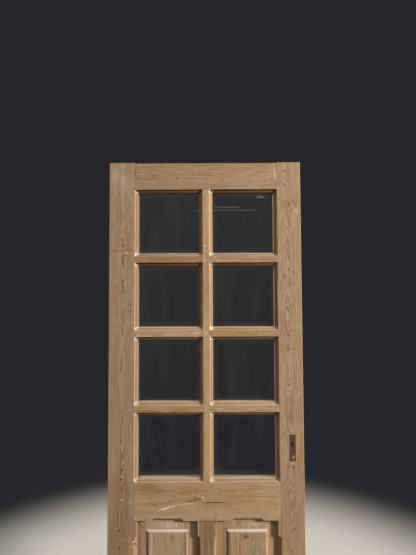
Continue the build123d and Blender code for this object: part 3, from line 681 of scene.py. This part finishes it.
# Panes
# Clear sheet glass bedded against the back of the moulding. It is old enough to be a little wavy, and dust
# has gathered along its edges, where a cloth doesn't reach.
glass = bpy.data.materials.new("clear sheet glass")
glass.use_nodes = True
tree = glass.node_tree
sheet = tree.nodes["Principled BSDF"]
sheet.inputs["Base Color"].default_value = linear("#f4f6f6")
sheet.inputs["Transmission Weight"].default_value = 1.0
sheet.inputs["Roughness"].default_value = 0.02
sheet.inputs["IOR"].default_value = 1.5
here = put(tree, "TexCoord").outputs["Object"]
wave = put(tree, "TexNoise", {"Vector": here, "Scale": 9.0, "Detail": 1.0})
wave = put(tree, "Bump", {"Strength": 0.06, "Distance": 0.0008, "Height": wave})
tree.links.new(wave.outputs[0], sheet.inputs["Normal"])
mm = put(tree, "VectorMath", {0: here, "Scale": 1000.0}, operation="SCALE")
apart = put(tree, "SeparateXYZ", (mm,))
edges = []
for axis, start, pitch, size in (
    ("X", glazing_left, pane_pitch_across, pane_width),
    ("Z", glazing_foot, pane_pitch_up, pane_height),
):
    at = put(tree, "Math", (apart.outputs[axis], start), operation="SUBTRACT")
    at = put(tree, "Math", (at, pitch), operation="FLOORED_MODULO")
    at = put(tree, "Math", (at, size / 2), operation="SUBTRACT")
    at = put(tree, "Math", (at,), operation="ABSOLUTE")
    edges.append(put(tree, "Math", (size / 2 - lip_floor, at), operation="SUBTRACT"))
edge = put(tree, "Math", edges, operation="SMOOTH_MIN")
edge.inputs[2].default_value = 18.0
drift = put(tree, "TexNoise", {"Vector": here, "Scale": 46.0, "Detail": 4.0, "Roughness": 0.65})
edge = put(tree, "Math", (drift, -34.0, edge), operation="MULTIPLY_ADD")
rim = put(tree, "MapRange", {0: edge, 1: -20.0, 2: 12.0, 3: 0.035, 4: 0.0}, **smooth)
smears = put(tree, "Mapping", {"Vector": here, "Rotation": (0.0, 0.35, 0.0), "Scale": (16.0, 16.0, 3.0)})
smears = put(tree, "TexNoise", {"Vector": smears, "Scale": 1.0, "Detail": 3.0})
smears = put(tree, "MapRange", {0: smears, 1: 0.50, 2: 0.78, 3: 0.0, 4: 0.02})
film = put(tree, "Math", (rim, smears), operation="ADD", use_clamp=True)
dust = put(tree, "BsdfDiffuse", {"Color": linear("#9aa3a8")})
dusty = put(tree, "MixShader", (film, sheet, dust))
see_lamps = put(tree, "BsdfTransparent", {"Color": linear("#d4d8d8")})
shadow = put(tree, "LightPath").outputs["Is Shadow Ray"]
both = put(tree, "MixShader", (shadow, dusty, see_lamps))
tree.links.new(both.outputs[0], tree.nodes["Material Output"].inputs["Surface"])
for column in ("left", "right"):
    for row in range(1, 5):
        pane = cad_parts[f"pane_{column}_{row}"]
        pane.data.materials.clear()
        pane.data.materials.append(glass)

# Beads, their pins and the wedges
# Splayed pine beads hold each pane from behind. They are mitred at the corners and fixed with domed steel
# panel pins, gone dull. Pairs of wedges spread the through tenons on the door's edges.
bead_back, bead_round = 19.0, 0.5  # mm
pin_line, pin_inset, pin_head = 5.0, 28.0, 1.8  # mm from the arris, from a stick's end and across
pins_along = 3
bead_pine = pine(
    "glazing beads, stripped pine", "stick", (-900.0, 30.0, 0.0), (0.01, 0.01), 2.8, "#b0906a", "#866545",
    seed=45.0,
)


def mitred(obj, left, foot):
    """Splits a ring of bead at its four mitres, so that the grain of each stick can run its own way."""
    shape = bmesh.new()
    shape.from_mesh(obj.data)
    right, head = left + pane_width, foot + pane_height
    for x, z, lean in ((left, foot, -1), (right, foot, 1), (left, head, 1), (right, head, -1)):
        corner = Vector((x, 0, z)) / 1000
        near = [f for f in shape.faces if any((v.co.xz - corner.xz).length < 0.03 for v in f.verts)]
        parts = near + list({e for f in near for e in f.edges}) + list({v for f in near for v in f.verts})
        across_it = Vector((1, 0, lean)).normalized()
        bmesh.ops.bisect_plane(shape, geom=parts, plane_co=corner, plane_no=across_it)
    upright = shape.faces.layers.float.new("upright")
    for f in shape.faces:
        at = f.calc_center_median() * 1000
        to_side = min(at.x - left, right - at.x)
        to_end = min(at.z - foot, head - at.z)
        f[upright] = 1.0 if to_side < to_end else 0.0
    shape.to_mesh(obj.data)
    shape.free()


for column, left in (("left", glazing_left), ("right", glazing_left + pane_pitch_across)):
    for row in range(1, 5):
        foot = glazing_foot + (4 - row) * pane_pitch_up
        bead = softened(f"bead_{column}_{row}", f"bead_{column}_{row}_sticks", bead_pine, bead_round)
        mitred(bead, left, foot)

# the pins: one line along each stick, points along it, a domed head on each
pin_steel = bpy.data.materials.new("dull steel pins")
pin_steel.use_nodes = True
tree = pin_steel.node_tree
skin = tree.nodes["Principled BSDF"]
here = put(tree, "TexCoord").outputs["Object"]
tarnish = put(tree, "TexNoise", {"Vector": here, "Scale": 700.0, "Detail": 2.0})
tarnish = put(tree, "MixRGB", (tarnish, linear("#57504a"), linear("#8a8178")))
tree.links.new(tarnish.outputs[0], skin.inputs["Base Color"])
skin.inputs["Metallic"].default_value = 0.8
skin.inputs["Roughness"].default_value = 0.5

pin_lines = bpy.data.meshes.new("bead_pins")
ends = []
for left in (glazing_left, glazing_left + pane_pitch_across):
    for row in range(4):
        foot = glazing_foot + row * pane_pitch_up
        x0, x1 = left + pin_line, left + pane_width - pin_line
        z0, z1 = foot + pin_line, foot + pane_height - pin_line
        for a, b in (
            ((x0, z0), (x1, z0)),
            ((x0, z1), (x1, z1)),
            ((x0, z0), (x0, z1)),
            ((x1, z0), (x1, z1)),
        ):
            step = (Vector(b) - Vector(a)).normalized() * pin_inset
            ends += [Vector(a) + step, Vector(b) - step]
spots = [(p.x / 1000, bead_back / 1000, p.y / 1000) for p in ends]
pin_lines.from_pydata(spots, [(i, i + 1) for i in range(0, len(ends), 2)], [])
pins = bpy.data.objects.new("bead_pins", pin_lines)
scene.collection.objects.link(pins)
tree = bpy.data.node_groups.new("pins along beads", "GeometryNodeTree")
tree.interface.new_socket("Geometry", in_out="INPUT", socket_type="NodeSocketGeometry")
across = tree.interface.new_socket("Head diameter", in_out="INPUT", socket_type="NodeSocketFloat")
count = tree.interface.new_socket("Pins along a stick", in_out="INPUT", socket_type="NodeSocketInt")
tree.interface.new_socket("Geometry", in_out="OUTPUT", socket_type="NodeSocketGeometry")
given = tree.nodes.new("NodeGroupInput")
runs = put(tree, "GeometryNodeMeshToCurve", {"Mesh": given.outputs["Geometry"]})
many = given.outputs["Pins along a stick"]
spots = put(tree, "GeometryNodeCurveToPoints", {"Curve": runs, "Count": many})
head = put(tree, "GeometryNodeMeshUVSphere", {"Segments": 10, "Rings": 6, "Radius": 0.5})
wide = given.outputs["Head diameter"]
flat = put(tree, "Math", (wide, 0.4), operation="MULTIPLY")
size = put(tree, "CombineXYZ", (wide, flat, wide))
heads = put(tree, "GeometryNodeInstanceOnPoints", {"Points": spots, "Instance": head, "Scale": size})
real = put(tree, "GeometryNodeRealizeInstances", (heads,))
clad = put(tree, "GeometryNodeSetMaterial", {"Geometry": real, "Material": pin_steel})
tree.links.new(clad.outputs[0], tree.nodes.new("NodeGroupOutput").inputs[0])
maker = pins.modifiers.new("pins", "NODES")
maker.node_group = tree
maker[across.identifier] = pin_head / 1000
maker[count.identifier] = pins_along
pins.data = bpy.data.meshes.new_from_object(pins.evaluated_get(bpy.context.evaluated_depsgraph_get()))
pins.modifiers.clear()
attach(pins, "root")

wedge_pine = pine(
    "wedges, end-grain pine", "x", (-900.0, 12.0, 0.0), (0.0, 0.0), 1.8, "#a8875f", "#6d5036",
    seed=19.0,
)
for name in ("wedges_hinge_stile", "wedges_lock_stile"):
    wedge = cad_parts[name]
    wedge.data.materials.clear()
    wedge.data.materials.append(wedge_pine)

# Keyhole plate
# A thin steel plate let into the lock stile, sunk below the face and rusted a dark purplish brown, bitten
# through by the keyhole and scraped bright at one lower corner.
rust = bpy.data.materials.new("rusted sheet steel")
rust.use_nodes = True
tree = rust.node_tree
skin = tree.nodes["Principled BSDF"]
here = put(tree, "TexCoord").outputs["Object"]
bloom = put(tree, "TexNoise", {"Vector": here, "Scale": 160.0, "Detail": 4.0, "Roughness": 0.65})
bloom = put(tree, "MapRange", {0: bloom, 1: 0.35, 2: 0.68, 3: 0.0, 4: 1.0})
colour = put(tree, "MixRGB", (bloom, linear("#45342e"), linear("#674f40")))
scrape = {"Location": (0.7215, -0.0205, 0.8205), "Rotation": (0.0, 0.5, 0.0), "Scale": (0.005, 0.02, 0.011)}
scrape = put(tree, "Mapping", {"Vector": here, **scrape}, vector_type="TEXTURE")
scrape = put(tree, "VectorMath", (scrape,), operation="LENGTH").outputs["Value"]
scrape = put(tree, "MapRange", {0: scrape, 1: 1.1, 2: 0.5, 3: 0.0, 4: 0.8})
colour = put(tree, "MixRGB", (scrape, colour, linear("#b49a8a")))
tree.links.new(colour.outputs[0], skin.inputs["Base Color"])
rough = put(tree, "MapRange", {0: bloom, 1: 0.0, 2: 1.0, 3: 0.55, 4: 0.85})
tree.links.new(rough.outputs[0], skin.inputs["Roughness"])
bump = put(tree, "Bump", {"Strength": 0.5, "Distance": 0.0004, "Height": bloom})
tree.links.new(bump.outputs[0], skin.inputs["Normal"])
skin.inputs["Metallic"].default_value = 0.2
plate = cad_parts["keyhole_plate"]
plate.data.materials.clear()
plate.data.materials.append(rust)

# Studio
# A pale round of floor under the leaf, which dims away into an even grey room. The key lamp hangs well to
# the right, higher than the leaf, and rakes across the mouldings. A weak one in front fills in, one behind
# lights the back, and little light comes up from below.
room_grey, floor_pale, floor_bounce = "#26272a", "#bfbfbc", "#5c5c5e"
floor_radius, fade_from, fade_to = 4.0, 0.95, 2.0  # m
floor_mesh = bpy.data.meshes.new("studio_floor")
floor_shape = bmesh.new()
bmesh.ops.create_circle(floor_shape, cap_ends=True, segments=96, radius=floor_radius)
floor_shape.to_mesh(floor_mesh)
floor_shape.free()
floor = bpy.data.objects.new("studio_floor", floor_mesh)
floor.location = (0.38, 0.0, 0.0)
scene.collection.objects.link(floor)
paper = bpy.data.materials.new("matt paper floor")
paper.use_nodes = True
tree = paper.node_tree
sheet = tree.nodes["Principled BSDF"]
sheet.inputs["Roughness"].default_value = 0.95
sheet.inputs["Specular IOR Level"].default_value = 0.1
path = put(tree, "LightPath").outputs
seen = put(tree, "Math", (path["Is Camera Ray"], path["Is Transmission Ray"]), operation="MAXIMUM")
seen = put(tree, "Math", (seen, path["Is Glossy Ray"]), operation="MAXIMUM")
tint = put(tree, "MixRGB", (seen, linear(floor_bounce), linear(floor_pale)))
tree.links.new(tint.outputs[0], sheet.inputs["Base Color"])
room = put(tree, "Emission", {"Color": linear(room_grey)})
here = put(tree, "TexCoord").outputs["Object"]
away = put(tree, "VectorMath", (here,), operation="LENGTH").outputs["Value"]
fade = {0: away, 1: fade_from, 2: fade_to, 3: 0.0, 4: 1.0}
fade = put(tree, "MapRange", fade, interpolation_type="SMOOTHERSTEP")
fade = put(tree, "Math", (fade, seen), operation="MULTIPLY")
both = put(tree, "MixShader", (fade, sheet, room))
tree.links.new(both.outputs[0], tree.nodes["Material Output"].inputs["Surface"])
floor_mesh.materials.append(paper)


def lamp(name, place, aim, size, power, hex_code):
    """An oblong lamp turned to its aim, with places and sizes in m and power in watts."""
    data = bpy.data.lights.new(name, "AREA")
    data.shape = "RECTANGLE"
    data.size, data.size_y = size
    data.energy = power
    data.color = linear(hex_code)[:3]
    obj = bpy.data.objects.new(name, data)
    obj.location = place
    obj.rotation_euler = (Vector(aim) - Vector(place)).to_track_quat("-Z", "Y").to_euler()
    scene.collection.objects.link(obj)
    return obj


lamp("key", (7.2, -3.3, 3.3), (0.4, 0.0, 1.2), (0.9, 0.9), 890.0, "#fff6ee")
lamp("front", (1.2, -2.2, 4.2), (0.4, 0.0, 1.2), (0.9, 0.6), 16.0, "#fffaf4")
lamp("back", (-2.9, 3.4, 3.4), (0.4, 0.0, 1.0), (1.4, 1.2), 170.0, "#fff8f0")

# three slight tubes high up in front, there to be mirrored as thin streaks in the upper panes: from, to and
# height in m, and watts
tubes = ((0.1, 1.28, 3.05, 0.13), (0.52, 0.98, 3.11, 0.06), (1.3, 1.46, 3.3, 0.04))
tube_away, tube_thick = 6.0, 0.02  # m
for number, (left, right, up, power) in enumerate(tubes):
    middle = (left + right) / 2
    size = (right - left, tube_thick)
    tube = lamp(f"tube {number}", (middle, -tube_away, up), (middle, 0.0, up), size, power, "#f2f6ff")
    tube.visible_transmission = False

# the room gives more light from above than from below, and shows as an even grey
world = bpy.data.worlds.new("grey room")
world.use_nodes = True
scene.world = world
tree = world.node_tree
air = tree.nodes["Background"]
air.inputs["Color"].default_value = linear("#f8efe2")
way = put(tree, "TexCoord").outputs["Generated"]
way = put(tree, "SeparateXYZ", (way,)).outputs["Z"]
level = put(tree, "MapRange", {0: way, 1: -0.35, 2: 0.5, 3: 0.04, 4: 0.34})
tree.links.new(level.outputs[0], air.inputs["Strength"])
backdrop = put(tree, "Background", {"Color": linear(room_grey), "Strength": 1.0})
path = put(tree, "LightPath").outputs
seen = put(tree, "Math", (path["Is Camera Ray"], path["Is Transmission Ray"]), operation="MAXIMUM")
both = put(tree, "MixShader", (seen, air, backdrop))
tree.links.new(both.outputs[0], tree.nodes["World Output"].inputs["Surface"])
